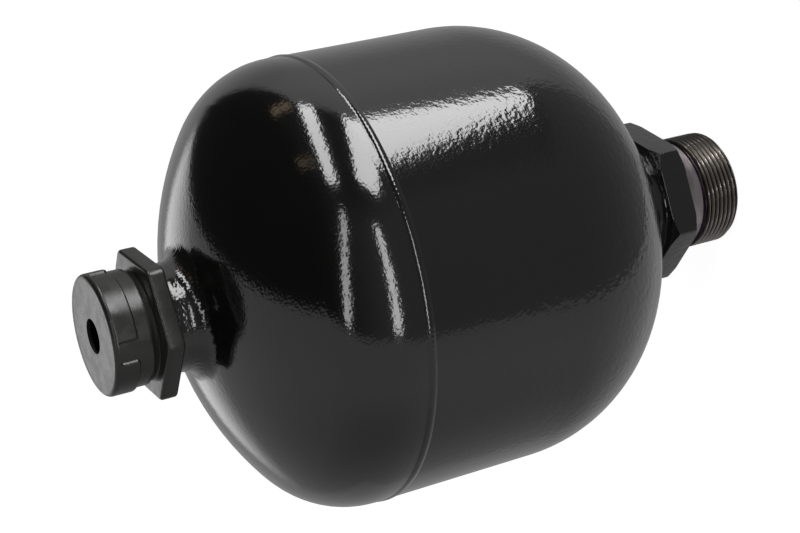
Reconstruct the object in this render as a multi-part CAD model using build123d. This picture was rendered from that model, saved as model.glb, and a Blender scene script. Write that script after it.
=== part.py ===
from build123d import *
import os
from math import asin, atan2, cos, pi, radians, sin, sqrt, tan

# A small welded hydraulic accumulator. Millimetres. The axis of the vessel is Z: the threaded fluid
# port ends on Z = 0, and the gas filling boss with its protective cap is at the top.

# ---- pressure vessel ----
shell_diameter = 123.0
shell_wall = 4.5
cylinder_length = 48.4          # the straight stretch between the two dished ends
fluid_dome_height = 47.5
fluid_dome_knuckle = 46.5       # knuckle and crown are the two tangent arcs of a dished end
gas_dome_height = 37.4
gas_dome_knuckle = 24.5
seam_below_dome = 3.1           # the girth seam, below the top of the cylinder
seam_face_width = 2.3
seam_root_width = 1.0
seam_crown = 0.35               # how far the bead stands proud
rebate_depth = 1.2              # the rim of each shell is bored out for the clamp ring
rebate_below_seam = 16.0
rebate_below_dome = 0.6

# ---- fluid port ----
port_thread_diameter = 33.0
port_thread_length = 12.7
port_thread_chamfer = 1.0
port_relief_depth = 0.8
port_relief_length = 7.0
port_hex_across_flats = 41.0
port_hex_thickness = 8.3
port_hex_chamfer_diameter = 43.5  # where the turned corners start, on both faces
port_hex_chamfer_angle = 30.0
port_collar_diameter = 38.0
port_collar_length = 9.0        # from the hexagon to the pole of the dished end
port_spigot_diameter = 28.0
port_bore_diameter = 18.6       # tapping bore of the inner thread
port_bore_depth = 15.0
port_bore_chamfer = 1.2
port_passage_diameter = 10.0
port_mouth_chamfer = 2.0
port_weld_height = 7.6          # leg of the fillet along the collar
port_weld_width = 7.0           # leg of the fillet along the dished end
port_weld_hollow = 0.64         # 0.5 is a straight fillet face, 0.707 a quarter round

# ---- gas boss ----
neck_height = 7.3               # above the pole of the dished end
neck_shoulder = 0.75            # step from the neck to the thread, which the cap seats on
boss_spigot_diameter = 22.0
boss_thread_diameter = 28.0
boss_thread_length = 13.4
boss_thread_chamfer = 1.0
boss_relief_depth = 1.1
boss_relief_length = 1.8
boss_weld_height = 4.5
boss_weld_width = 4.3
boss_weld_hollow = 0.67
gas_passage_diameter = 4.0

# ---- charging screw and its seal ----
screw_thread_diameter = 12.0
screw_head_diameter = 17.0
screw_head_height = 5.0
screw_length = 10.3             # shank from the head to the start of its cone
screw_tip_diameter = 5.2
screw_socket_across_flats = 6.0
screw_socket_depth = 3.8
head_sink = 0.3                 # how far the head lies below the boss's end face
seal_section = 1.7
seal_inner_diameter = 12.7

# ---- protective cap ----
cap_wall = 1.35
cap_flange_rise = 1.8           # how far the flats stand outside the grip band
cap_flange_thickness = 4.9
cap_flange_corner = 2.6
cap_edge_round = 0.9
cap_front_round = 1.3
cap_face_dish = 0.6             # how far the front face sinks toward its middle
cap_entry_chamfer = 0.3
grip_band_rise = 0.75
grip_band_length = 6.8
grip_band_rear_round = 0.5
cap_roof = 3.3
cap_roof_gap = 0.7              # free height over the boss
cap_hole_diameter = 9.4
cap_hole_round = 0.5
grip_notch_count = 4
grip_notch_width = 5.7
grip_notch_lip = 1.5            # the unbroken rim in front of the notches
grip_notch_round = 1.0          # where a notch opens to the rear of the band
grip_notch_turn = 60.0          # from a corner of the flange to the first notch, degrees
cap_turn = 7.3                  # how far the cap is screwed round, degrees

# ---- bladder, clamp ring and closing button ----
bladder_wall = 2.5
bladder_bead_height = 5.5
bladder_hub_diameter = 40.0
bladder_hub_thickness = 3.0
clamp_ring_wall = 3.2
clamp_lip_wall = 2.0
clamp_lip_length = 4.5
clamp_lip_shoulder = 1.2
button_diameter = 26.0
button_thickness = 2.5
button_stud_diameter = 7.8
button_head_diameter = 14.0
button_head_height = 2.4

# ---- clearances ----
thread_clearance = 0.05         # between the plain cylinders that stand for threads
cap_thread_clearance = 0.1
spigot_clearance = 0.05
ring_clearance = 0.05
bead_clearance = 0.1
bladder_clearance = 0.3
head_clearance = 0.6
button_clearance = 0.1
seat_clearance = 0.07

# ---- sizes and levels worked out from the ones above ----
shell_radius = shell_diameter / 2
neck_diameter = boss_thread_diameter + 2 * neck_shoulder
cap_body_diameter = boss_thread_diameter + 2 * (cap_thread_clearance + cap_wall)
grip_band_diameter = cap_body_diameter + 2 * grip_band_rise
cap_flange_across_flats = grip_band_diameter + 2 * cap_flange_rise
relief_top = port_thread_length + port_relief_length
hex_top = relief_top + port_hex_thickness
fluid_pole = hex_top + port_collar_length
cylinder_bottom = fluid_pole + fluid_dome_height
cylinder_top = cylinder_bottom + cylinder_length
gas_pole = cylinder_top + gas_dome_height
seam = cylinder_top - seam_below_dome
neck_top = gas_pole + neck_height
boss_top = neck_top + boss_thread_length
cap_top = boss_top + cap_roof_gap + cap_roof
inner_radius = shell_radius - shell_wall
rebate_radius = inner_radius + rebate_depth
rebate_bottom = seam - rebate_below_seam
rebate_top = cylinder_top - rebate_below_dome
fluid_inner_pole = fluid_pole + shell_wall
gas_inner_pole = gas_pole - shell_wall


def at(radius, height):
    """A point of a turned outline."""
    return (radius, 0, height)


def turned(*corners):
    """A solid of revolution from straight-sided corners, each a (radius, height) pair."""
    outline = Polyline(*[at(*corner) for corner in corners], close=True)
    return revolve(make_face(outline), Axis.Z)


def swept(*edges):
    """A solid of revolution from a closed run of edges in the XZ plane."""
    return revolve(make_face(edges), Axis.Z)


def tube(outer, hole, bottom, top):
    """A plain ring."""
    return turned((hole, bottom), (outer, bottom), (outer, top), (hole, top))


def rod(radius, bottom, top):
    """A plain round bar on the axis."""
    return turned((0, bottom), (radius, bottom), (radius, top), (0, top))


def crown_radius(height, knuckle):
    """Radius of the crown arc that is tangent to the knuckle and reaches the stated height."""
    reach = shell_radius - knuckle
    return (reach**2 + height**2 - knuckle**2) / (2 * (height - knuckle))


def dished_end(inset, tangent, height, knuckle, side):
    """Knuckle arc and crown arc of a dished end, shrunk by inset. side is 1 upward, -1 downward."""
    crown = crown_radius(height, knuckle)
    reach = shell_radius - knuckle
    depth = crown - height
    turn = atan2(depth, reach)

    def knuckle_point(angle):
        size = knuckle - inset
        return at(reach + size * cos(angle), tangent + side * size * sin(angle))

    def crown_point(angle):
        size = crown - inset
        return at(size * cos(angle), tangent + side * (size * sin(angle) - depth))

    pole = at(0, tangent + side * (height - inset))
    knuckle_arc = ThreePointArc(knuckle_point(0), knuckle_point(turn / 2), knuckle_point(turn))
    crown_arc = ThreePointArc(knuckle_point(turn), crown_point((turn + pi / 2) / 2), pole)
    return knuckle_arc, crown_arc


def vessel_form(inset):
    """The solid inside the vessel's surface, shrunk evenly by inset."""
    low_knuckle, low_crown = dished_end(inset, cylinder_bottom, fluid_dome_height, fluid_dome_knuckle, -1)
    high_knuckle, high_crown = dished_end(inset, cylinder_top, gas_dome_height, gas_dome_knuckle, 1)
    side_wall = Line(at(shell_radius - inset, cylinder_bottom), at(shell_radius - inset, cylinder_top))
    axis = Line(at(0, fluid_pole + inset), at(0, gas_pole - inset))
    return swept(low_knuckle, low_crown, axis, high_crown, high_knuckle, side_wall)


def fluid_dome_level(radius):
    """Height of the outer surface of the fluid end at a radius near the pole."""
    crown = crown_radius(fluid_dome_height, fluid_dome_knuckle)
    return fluid_pole + crown - sqrt(crown**2 - radius**2)


def gas_dome_level(radius):
    """Height of the outer surface of the gas end at a radius near the pole."""
    crown = crown_radius(gas_dome_height, gas_dome_knuckle)
    return gas_pole - crown + sqrt(crown**2 - radius**2)


def make_girth_weld():
    """The ring of weld metal: a narrow vee through the wall with a low rounded cap."""
    face = seam_face_width / 2
    root = seam_root_width / 2
    return swept(
        Line(at(rebate_radius, seam - root), at(shell_radius, seam - face)),
        ThreePointArc(
            at(shell_radius, seam - face), at(shell_radius + seam_crown, seam), at(shell_radius, seam + face)
        ),
        Line(at(shell_radius, seam + face), at(rebate_radius, seam + root)),
        Line(at(rebate_radius, seam + root), at(rebate_radius, seam - root)),
    )


def make_shell_wall():
    """The whole wall of the vessel with the rebate under the seam."""
    return vessel_form(0) - vessel_form(shell_wall) - rod(rebate_radius, rebate_bottom, rebate_top)


def port_seat():
    """Height of the flat that the port's collar stands on."""
    return fluid_dome_level(port_collar_diameter / 2)


def boss_seat():
    """Height of the flat that the gas boss stands on."""
    return gas_dome_level(neck_diameter / 2)


def make_fluid_end_shell():
    """The deep-drawn cup: dished end, cylinder, hole and spot face for the port, rim ready to weld."""
    cup = make_shell_wall() & rod(shell_diameter, 0, seam)
    hole = rod(port_spigot_diameter / 2 + spigot_clearance, 0, cylinder_bottom)
    spot_face = rod(port_collar_diameter / 2, 0, port_seat())
    return cup - hole - spot_face - make_girth_weld()


def make_gas_end_shell():
    """The shallow cup at the gas end, prepared the same way."""
    cup = make_shell_wall() & rod(shell_diameter, seam, cap_top)
    hole = rod(boss_spigot_diameter / 2 + spigot_clearance, cylinder_top, cap_top)
    spot_face = rod(neck_diameter / 2, boss_seat(), cap_top)
    return cup - hole - spot_face - make_girth_weld()


def make_port_hexagon():
    """The spanner hexagon, corners on the X axis, with its corners turned off a little at both faces."""
    flats = port_hex_across_flats / 2
    blank = RegularPolygon(radius=flats, side_count=6, major_radius=False)
    prism = Pos(0, 0, relief_top) * extrude(blank, amount=port_hex_thickness)
    corner = flats / cos(radians(30))
    start = port_hex_chamfer_diameter / 2
    slope = (corner - start) * tan(radians(port_hex_chamfer_angle))
    turned_corners = turned(
        (0, relief_top),
        (start, relief_top),
        (corner, relief_top + slope),
        (corner, hex_top - slope),
        (start, hex_top),
        (0, hex_top),
    )
    return prism & turned_corners


def make_fluid_port():
    """Turned from hexagon bar: outer thread, relief, hexagon, collar and spigot, bored through."""
    thread = port_thread_diameter / 2
    relief = thread - port_relief_depth
    spigot = port_spigot_diameter / 2
    bore = port_bore_diameter / 2
    passage = port_passage_diameter / 2
    body = turned(
        (0, 0),
        (thread - port_thread_chamfer, 0),
        (thread, port_thread_chamfer),
        (thread, port_thread_length - port_relief_depth),
        (relief, port_thread_length),
        (relief, relief_top),
        (port_collar_diameter / 2, relief_top),
        (port_collar_diameter / 2, port_seat()),
        (spigot, port_seat()),
        (spigot, fluid_inner_pole),
        (0, fluid_inner_pole),
    )
    drill_point = (bore - passage) * tan(radians(31))
    way = turned(
        (0, 0),
        (bore + port_bore_chamfer, 0),
        (bore, port_bore_chamfer),
        (bore, port_bore_depth),
        (passage, port_bore_depth + drill_point),
        (passage, fluid_inner_pole - port_mouth_chamfer),
        (passage + port_mouth_chamfer, fluid_inner_pole),
        (0, fluid_inner_pole),
    )
    return body + make_port_hexagon() - way


def fillet_weld(radius, start, toe_radius, toe, depth, hollow):
    """A hollow fillet of weld round a collar: from the collar at start to the wall at its toe."""
    middle = at(radius * hollow + toe_radius * (1 - hollow), start * (1 - hollow) + toe * hollow)
    return swept(
        ThreePointArc(at(radius, start), middle, at(toe_radius, toe)),
        Line(at(toe_radius, toe), at(toe_radius, toe + depth)),
        Line(at(toe_radius, toe + depth), at(radius, toe + depth)),
        Line(at(radius, toe + depth), at(radius, start)),
    )


def make_fluid_port_weld(shell):
    """The fillet between the port's collar and the dished end."""
    collar = port_collar_diameter / 2
    toe = collar + port_weld_width
    level = fluid_dome_level(toe)
    start = port_seat() - port_weld_height
    blank = fillet_weld(collar, start, toe, level, shell_wall / 2, port_weld_hollow)
    return blank - shell


def make_gas_boss_weld(shell):
    """The fillet between the neck of the gas boss and the dished end."""
    neck = neck_diameter / 2
    toe = neck + boss_weld_width
    level = gas_dome_level(toe)
    start = boss_seat() + boss_weld_height
    blank = fillet_weld(neck, start, toe, level, -shell_wall / 2, boss_weld_hollow)
    return blank - shell


def screw_head_seat():
    """Height of the floor that the charging screw's head closes on."""
    return boss_top - head_sink - screw_head_height


def screw_cone_start():
    """Height where the shank of the charging screw turns into its sealing cone."""
    return screw_head_seat() - screw_length


def make_gas_boss():
    """The turned filling boss: spigot, neck, outer thread, and the stepped hole for the charging screw."""
    neck = neck_diameter / 2
    spigot = boss_spigot_diameter / 2
    thread = boss_thread_diameter / 2
    relief = thread - boss_relief_depth
    body = turned(
        (0, gas_inner_pole),
        (spigot, gas_inner_pole),
        (spigot, boss_seat()),
        (neck, boss_seat()),
        (neck, neck_top),
        (relief, neck_top),
        (relief, neck_top + boss_relief_length),
        (thread, neck_top + boss_relief_length + boss_relief_depth),
        (thread, boss_top - boss_thread_chamfer),
        (thread - boss_thread_chamfer, boss_top),
        (0, boss_top),
    )
    hole = screw_thread_diameter / 2 + thread_clearance
    passage = gas_passage_diameter / 2
    head = screw_head_diameter / 2 + head_clearance
    pocket = seal_inner_diameter / 2 + seal_section + bead_clearance
    cone_top = screw_cone_start() - seat_clearance + thread_clearance
    way = turned(
        (0, gas_inner_pole),
        (passage, gas_inner_pole),
        (passage, cone_top - (hole - passage)),
        (hole, cone_top),
        (hole, screw_head_seat() - seal_section),
        (pocket, screw_head_seat() - seal_section),
        (pocket, screw_head_seat()),
        (head, screw_head_seat()),
        (head, boss_top),
        (0, boss_top),
    )
    return body - way


def make_charging_screw():
    """The screw that shuts the gas space: round head with a hexagon socket, shank and 45 degree cone."""
    shank = screw_thread_diameter / 2
    head = screw_head_diameter / 2
    tip = screw_tip_diameter / 2
    top = screw_head_seat() + screw_head_height
    bevel = 0.6
    body = turned(
        (0, screw_cone_start() - (shank - tip)),
        (tip, screw_cone_start() - (shank - tip)),
        (shank, screw_cone_start()),
        (shank, screw_head_seat()),
        (head, screw_head_seat()),
        (head, top - bevel),
        (head - bevel, top),
        (0, top),
    )
    key = RegularPolygon(radius=screw_socket_across_flats / 2, side_count=6, major_radius=False)
    socket = Pos(0, 0, top - screw_socket_depth) * extrude(key, amount=screw_socket_depth)
    return body - socket


def make_charging_screw_seal():
    """The O-ring under the head of the charging screw."""
    ring = Torus(seal_inner_diameter / 2 + seal_section / 2, seal_section / 2)
    return Pos(0, 0, screw_head_seat() - seal_section / 2) * ring


def make_cap_flange():
    """The cap's hexagon flange with rounded corners and edges."""
    blank = RegularPolygon(radius=cap_flange_across_flats / 2, side_count=6, major_radius=False)
    blank = fillet(blank.vertices(), cap_flange_corner)
    flange = extrude(blank, amount=cap_flange_thickness)
    rims = flange.edges().group_by(Axis.Z)
    flange = fillet(rims[0] + rims[-1], cap_edge_round)
    return Pos(0, 0, neck_top) * flange


def cap_face_radius():
    """Radius at which the cap's front face begins, inside the rounded rim."""
    return grip_band_diameter / 2 - cap_front_round


def cap_face_level(radius):
    """Height of the cap's dished front face at a radius."""
    return cap_top - cap_face_dish * (1 - (radius / cap_face_radius()) ** 2)


def make_band_blank():
    """A round bar over the cap's front, with its front rim rounded and its face dished."""
    edge = cap_front_round
    radius = grip_band_diameter / 2
    flat = cap_face_radius()
    base = cap_top - grip_band_length
    return swept(
        Line(at(0, base), at(radius, base)),
        Line(at(radius, base), at(radius, cap_top - edge)),
        ThreePointArc(
            at(radius, cap_top - edge),
            at(flat + edge * cos(pi / 4), cap_top - edge * (1 - sin(pi / 4))),
            at(flat, cap_top),
        ),
        ThreePointArc(at(flat, cap_top), at(flat / 2, cap_face_level(flat / 2)), at(0, cap_face_level(0))),
        Line(at(0, cap_face_level(0)), at(0, base)),
    )


def rear_corner_space():
    """What is taken off round the rear edge of the grip band."""
    radius = grip_band_diameter / 2
    edge = grip_band_rear_round
    base = cap_top - grip_band_length
    return swept(
        Line(at(radius - edge, base), at(radius + edge, base)),
        Line(at(radius + edge, base), at(radius + edge, base + edge)),
        Line(at(radius + edge, base + edge), at(radius, base + edge)),
        ThreePointArc(
            at(radius, base + edge),
            at(radius - edge * (1 - cos(pi / 4)), base + edge * (1 - sin(pi / 4))),
            at(radius - edge, base),
        ),
    )


def make_notch_cutter():
    """The space of one finger notch, seen square on: straight sides that flare round at the band's rear."""
    half = grip_notch_width / 2
    corner = grip_notch_round
    rear = cap_top - grip_band_length
    front = cap_top - grip_notch_lip
    slant = corner * (1 - sin(pi / 4))
    right = [
        Line((0, front), (half, front)),
        Line((half, front), (half, rear + corner)),
        ThreePointArc((half, rear + corner), (half + slant, rear + slant), (half + corner, rear)),
        Line((half + corner, rear), (0, rear)),
        Line((0, rear), (0, front)),
    ]
    outline = make_face(right) + mirror(make_face(right), Plane.YZ)
    return extrude(Plane.YZ * outline, amount=grip_band_diameter)


def make_grip_band():
    """The raised band round the cap's front, with its finger notches behind an unbroken rim."""
    band = make_band_blank() - rear_corner_space()
    for step in range(grip_notch_count):
        band -= Rot(0, 0, grip_notch_turn + step * 360 / grip_notch_count) * make_notch_cutter()
    return band + rod(cap_body_diameter / 2, neck_top, cap_top - grip_notch_lip)


def make_protective_cap():
    """The moulded cap: hexagon flange, round body, grip band, roof with a centre hole, open underneath."""
    bore = boss_thread_diameter / 2 + cap_thread_clearance
    hole = cap_hole_diameter / 2
    roof = cap_top - cap_roof
    entry = bore + cap_entry_chamfer
    cavity = turned(
        (0, neck_top), (entry, neck_top), (bore, neck_top + cap_entry_chamfer), (bore, roof), (0, roof)
    )
    face = cap_face_level(hole + cap_hole_round)
    mouth = swept(
        Line(at(0, roof), at(hole, roof)),
        Line(at(hole, roof), at(hole, face - cap_hole_round)),
        ThreePointArc(
            at(hole, face - cap_hole_round),
            at(hole + cap_hole_round * (1 - cos(pi / 4)), face - cap_hole_round * (1 - sin(pi / 4))),
            at(hole + cap_hole_round, face),
        ),
        Line(at(hole + cap_hole_round, face), at(hole + cap_hole_round, cap_top)),
        Line(at(hole + cap_hole_round, cap_top), at(0, cap_top)),
        Line(at(0, cap_top), at(0, roof)),
    )
    cap = make_cap_flange() + make_grip_band() - cavity - mouth
    return Rot(0, 0, cap_turn) * cap


def bead_top():
    """Height where the clamp ring presses on the bladder's rim bead."""
    return rebate_bottom + bladder_bead_height


def bladder_outer_inset():
    return shell_wall + bladder_clearance


def make_clamp_ring():
    """The steel ring behind the seam: it backs the weld, and its lip grips the bladder's rim bead."""
    outer = rebate_radius - ring_clearance
    inner = outer - clamp_ring_wall
    lip_outer = shell_radius - bladder_outer_inset() - bladder_wall - bead_clearance
    lip_inner = lip_outer - clamp_lip_wall
    return turned(
        (outer, bead_top()),
        (outer, rebate_top),
        (inner, rebate_top),
        (inner, bead_top() + clamp_lip_shoulder + inner - lip_inner),
        (lip_inner, bead_top() + clamp_lip_shoulder),
        (lip_inner, bead_top() - clamp_lip_length),
        (lip_outer, bead_top() - clamp_lip_length),
        (lip_outer, bead_top()),
    )


def button_top():
    """Height of the upper face of the closing button's disc."""
    return fluid_inner_pole + button_thickness


def make_bladder():
    """The moulded rubber bladder, spread against the wall: rim bead, thin wall, and a hub for the button."""
    outer = vessel_form(bladder_outer_inset())
    inner = vessel_form(bladder_outer_inset() + bladder_wall)
    below_bead = rod(shell_radius, 0, bead_top())
    skin = (outer - inner) & below_bead
    bead = tube(rebate_radius - bead_clearance, shell_radius - bladder_outer_inset() - bladder_wall,
                rebate_bottom, bead_top())
    hub_radius = bladder_hub_diameter / 2
    hub_top = button_top() + bladder_hub_thickness
    hub = turned((0, fluid_pole), (hub_radius + bladder_hub_thickness, fluid_pole),
                 (hub_radius + bladder_hub_thickness, button_top()), (hub_radius, hub_top), (0, hub_top))
    pocket = rod(button_diameter / 2 + bladder_clearance, 0, button_top())
    stud_hole = rod(button_stud_diameter / 2 + button_clearance, 0, hub_top)
    return skin + bead + (hub & outer) - pocket - stud_hole


def make_closing_button():
    """The button at the bottom of the bladder: a disc that shuts the port, a stud and a holding head."""
    disc = button_diameter / 2
    stud = button_stud_diameter / 2
    head = button_head_diameter / 2
    hub_top = button_top() + bladder_hub_thickness
    bevel = 0.5
    rise = button_head_height - bevel
    ball = (head**2 + rise**2) / (2 * rise)
    half_turn = asin(head / ball) / 2
    return swept(
        Polyline(
            at(0, fluid_inner_pole), at(disc - bevel, fluid_inner_pole), at(disc, fluid_inner_pole + bevel),
            at(disc, button_top()), at(stud, button_top()), at(stud, hub_top), at(head, hub_top),
            at(head, hub_top + bevel),
        ),
        ThreePointArc(
            at(head, hub_top + bevel),
            at(ball * sin(half_turn), hub_top + button_head_height - ball * (1 - cos(half_turn))),
            at(0, hub_top + button_head_height),
        ),
        Line(at(0, hub_top + button_head_height), at(0, fluid_inner_pole)),
    )


def main():
    fluid_end_shell = make_fluid_end_shell()
    gas_end_shell = make_gas_end_shell()
    nodes = {
        "fluid_end_shell": fluid_end_shell,
        "gas_end_shell": gas_end_shell,
        "girth_weld": make_girth_weld(),
        "fluid_port": make_fluid_port(),
        "fluid_port_weld": make_fluid_port_weld(fluid_end_shell),
        "gas_boss": make_gas_boss(),
        "gas_boss_weld": make_gas_boss_weld(gas_end_shell),
        "charging_screw": make_charging_screw(),
        "charging_screw_seal": make_charging_screw_seal(),
        "protective_cap": make_protective_cap(),
        "bladder": make_bladder(),
        "clamp_ring": make_clamp_ring(),
        "closing_button": make_closing_button(),
    }
    os.makedirs("parts", exist_ok=True)
    for name, shape in nodes.items():
        export_step(shape, f"parts/{name}.step")


main()
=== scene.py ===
"""The looks of a small welded bladder accumulator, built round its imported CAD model.

Everything is in metres in the model's own frame. Sizes named with MM at the end, and the outlines of
turned pieces, are in millimetres, and MM scales them as their meshes are made. Most levels along the
axis are read from the CAD nodes that the pieces stand for.
"""
from math import acos, atan2, cos, hypot, pi, radians, sin, tan

import bmesh
import bpy
import numpy as np
from mathutils import Matrix, Quaternion, Vector


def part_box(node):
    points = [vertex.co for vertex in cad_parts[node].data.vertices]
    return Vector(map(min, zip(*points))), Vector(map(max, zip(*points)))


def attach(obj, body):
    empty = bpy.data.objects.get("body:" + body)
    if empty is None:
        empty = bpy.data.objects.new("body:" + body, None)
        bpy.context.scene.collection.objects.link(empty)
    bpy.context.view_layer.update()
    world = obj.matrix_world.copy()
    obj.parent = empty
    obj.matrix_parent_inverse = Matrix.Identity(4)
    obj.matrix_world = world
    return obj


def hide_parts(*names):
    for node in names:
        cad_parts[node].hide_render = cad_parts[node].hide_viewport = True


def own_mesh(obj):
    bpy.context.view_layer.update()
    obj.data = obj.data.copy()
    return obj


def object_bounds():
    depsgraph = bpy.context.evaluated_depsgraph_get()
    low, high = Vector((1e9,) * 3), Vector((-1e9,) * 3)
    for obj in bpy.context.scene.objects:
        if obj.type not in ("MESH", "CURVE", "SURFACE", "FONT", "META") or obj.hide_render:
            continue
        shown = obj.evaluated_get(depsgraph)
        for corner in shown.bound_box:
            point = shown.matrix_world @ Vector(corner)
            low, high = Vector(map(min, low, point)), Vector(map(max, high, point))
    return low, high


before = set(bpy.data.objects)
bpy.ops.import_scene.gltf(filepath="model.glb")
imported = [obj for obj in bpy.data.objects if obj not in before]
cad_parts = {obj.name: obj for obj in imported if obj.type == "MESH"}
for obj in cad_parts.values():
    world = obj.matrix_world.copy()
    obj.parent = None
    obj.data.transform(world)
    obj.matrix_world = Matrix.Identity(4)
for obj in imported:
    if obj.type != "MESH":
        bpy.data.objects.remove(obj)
CAD_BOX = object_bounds()
CENTRE = (CAD_BOX[0] + CAD_BOX[1]) / 2
MM = 0.001

# ---- camera: the photograph's viewing angle ----
CAMERA_PLACE = Vector((0.0, -0.4682, 0.3310))
CAMERA_AIM = Vector((-0.0015, 0.0, 0.1055))
CAMERA_ROLL = -103.9            # degrees about the line of sight, from level
CAMERA_LENS = 84.5              # millimetres, on a sensor 36 mm wide

# ---- studio: level axes of the room the vessel lies in, seen in the row frame ----
STUDIO_UP = Vector((0.8704, -0.4923, 0.0))
STUDIO_RIGHT = Vector((-0.2389, -0.4220, -0.8746))
STUDIO_FRONT = STUDIO_RIGHT.cross(STUDIO_UP)
# The edges of the table, each as a ray off it and a ray well on it: first how far below level the ray
# goes, then its slopes sideways and toward the front.
TABLE_BACK = (-0.02, -0.07)
TABLE_RIGHT = (4.9, 4.3)
TABLE_LEFT = (-8.3, -7.3)
TABLE_FRONT = (9.4, 8.2)
# The edges of the sweep behind it, in the same way, for a ray that goes away from the camera.
SWEEP_BACK = (-0.02, -0.06)
SWEEP_SIDE = (0.82, 0.66)
SWEEP_TOP = (2.3, 1.7)
# The warm stands of the left lamp: place toward the front, half width, colour. Their ends are slopes of
# a ray that goes up, and the last pair is how far up it goes.
LAMP_STANDS = ((-0.57, 0.09, (0.75, 0.58, 0.40, 1)), (0.21, 0.07, (0.45, 0.36, 0.26, 1)))
LAMP_STAND_FAR = (-1.05, -0.9)
LAMP_STAND_NEAR = (-0.48, -0.58)
LAMP_STAND_HEIGHT = (0.3, 0.4)
ROOM_DARK = 0.015               # brightness of the walls, from the left side to the right
ROOM_PALE = 0.17
CEILING = 0.04
TABLE_FAR = 0.36                # brightness of the table, from its far parts to under the vessel
TABLE_UNDER = 0.22
TABLE_GLARE = 1.3               # and where the glare on it is
GLARE_WAY = (-0.52, -0.44, -0.74)   # toward the glare on the table: right, up, front
SWEEP_LOW = 0.27                # brightness of the sweep, from its foot to its top
SWEEP_HIGH = 0.48
# The soft boxes: place (right, up, front), width, length, long side, brightness.
SOFT_BOXES = {
    "overhead_left": ((-0.31, 1.0, 0.0), 0.19, 0.92, (0, 0, 1), 5.9),
    "overhead_right": ((0.31, 1.0, -0.05), 0.33, 0.80, (0, 0, 1), 6.2),
    "upright_left": ((-0.40, 0.6, 1.0), 0.13, 1.3, (0.1, 1, 0), 3.4),
    "upright_right": ((0.54, 0.6, 1.0), 0.17, 1.3, (0, 1, 0), 4.6),
}

# ---- floor ----
FLOOR_SIZE = 6.0
FLOOR_GLOW = 0.9
FLOOR_GAP = 0.0002              # below the port's face, so that the two never share a plane

# ---- sizes of the turned pieces, as their CAD nodes have them, and threads at their nominal size ----
PORT_THREAD_MM = 33.0
PORT_PITCH_MM = 1.5
PORT_RELIEF_MM = 31.4
PORT_HEX_MM = 41.0
PORT_HEX_CHAMFER_MM = 43.5      # diameter where the turned-off corners start, on both faces
PORT_COLLAR_MM = 38.0
PORT_BORE_MM = 18.6
PORT_BORE_CHAMFER_MM = 1.2
PORT_SPIGOT_MM = 28.0
PORT_PASSAGE_MM = 10.0
PORT_WELD_HOLLOW = 0.64         # 0.5 is a straight fillet face, 0.707 a quarter round
BOSS_NECK_MM = 29.5
BOSS_THREAD_MM = 28.0
BOSS_PITCH_MM = 1.5
BOSS_RELIEF_MM = 25.8
BOSS_SPIGOT_MM = 22.0
BOSS_POCKET_MM = 18.2
BOSS_SEAL_MM = 16.3
BOSS_HOLE_MM = 12.1
BOSS_PASSAGE_MM = 4.0
BOSS_WELD_HOLLOW = 0.67
THREAD_CHAMFER_MM = 1.0
SEAM_OUTER_MM = 123.0
SEAM_ROOT_MM = 116.4            # its inside, round the clamp ring
CAP_FLATS_MM = 36.0
CAP_CORNER_MM = 2.6
CAP_FLANGE_THICKNESS_MM = 4.9
CAP_FLANGE_EDGE_MM = 0.9
CAP_BODY_MM = 30.9
CAP_BORE_MM = 28.2
CAP_ENTRY_MM = 0.3
CAP_BAND_MM = 32.4
CAP_RISE_MM = 0.75
CAP_BAND_LENGTH_MM = 6.8
CAP_LIP_MM = 1.5                # the unbroken rim in front of the notches
CAP_RIM_MM = 1.3
CAP_DISH_MM = 0.6
CAP_HOLE_MM = 9.4
CAP_HOLE_ROUND_MM = 0.5
CAP_NOTCH_MM = 5.7
CAP_NOTCH_FLARE_MM = 1.0        # where a notch opens to the rear of the band
CAP_NOTCH_TURN = 60.0           # degrees from a corner of the flange
CAP_TURN = 7.3                  # degrees from X to a corner of the flange
SHELL_MM = 123.0
FLUID_TANGENT_MM = 84.5
FLUID_DOME_MM = 47.5
FLUID_KNUCKLE_MM = 46.5
BLADDER_INSET_MM = 4.8          # from the outside of the shell to the bladder
BLADDER_WALL_MM = 2.5
BLADDER_BEAD_MM = 5.5
BLADDER_HUB_MM = 40.0
BLADDER_POCKET_MM = 26.6        # the hollow under the hub that the button's disc sits in
BLADDER_STUD_HOLE_MM = 8.0

# ---- sizes that only the looks have ----
EDGE_TOLERANCE_MM = 0.02        # how near to the asked radius an edge of the CAD has to be
OUTER_THREAD_DEPTH_MM = 0.92
INNER_THREAD_DEPTH_MM = -0.9    # cut outward from the bore
PORT_THREAD_STEP_MM = 0.125     # between rings of the port's outer thread
THREAD_STEP_MM = 0.15           # and of the other threads
PORT_HEX_CORNER_MM = 0.8        # rounding of the hexagon's six long edges
PORT_HEX_EDGE_MM = 0.25         # and of the edges of its two faces
COLLAR_COAT_MM = 0.03           # height of the paint's unevenness on the port's collar
WELD_LUMPS_MM = {"boss_weld": 0.025, "port_weld": 0.035}
WELD_RIPPLES = {"boss_weld": 96, "port_weld": 130}      # how many, once round
WELD_SEED = 9
SEAM_RIPPLES = 300
SEAM_RIPPLE_MM = 0.012
SEAM_LUMPS_MM = 0.02
SEAM_SETBACK_MM = 0.035         # keeps the ripples and lumps down to the CAD node's own crown
NECK_GRAIN_MM = 0.016           # height of the grain in the paint on the neck
NECK_RIDGE_MM = 0.06            # height of the turning ridges under it
NECK_SETBACK_MM = 0.07          # keeps the grain and ridges down to the neck's own diameter
CAP_BAND_EDGE_MM = 0.7          # rounding of the edges of the grip band and its notches
CAP_BAND_STEEP_MM = 0.12        # width of the steep wall below that rounding
CAP_NOTCH_CORNER_MM = 0.6
CAP_GROOVE_MM = 1.0             # depth of the groove that parts the body from the flange
CAP_GROOVE_WIDTH_MM = 1.9
CAP_KNIT_TURN = -150.0          # degrees from X to the hairline knit line on the face
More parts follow.
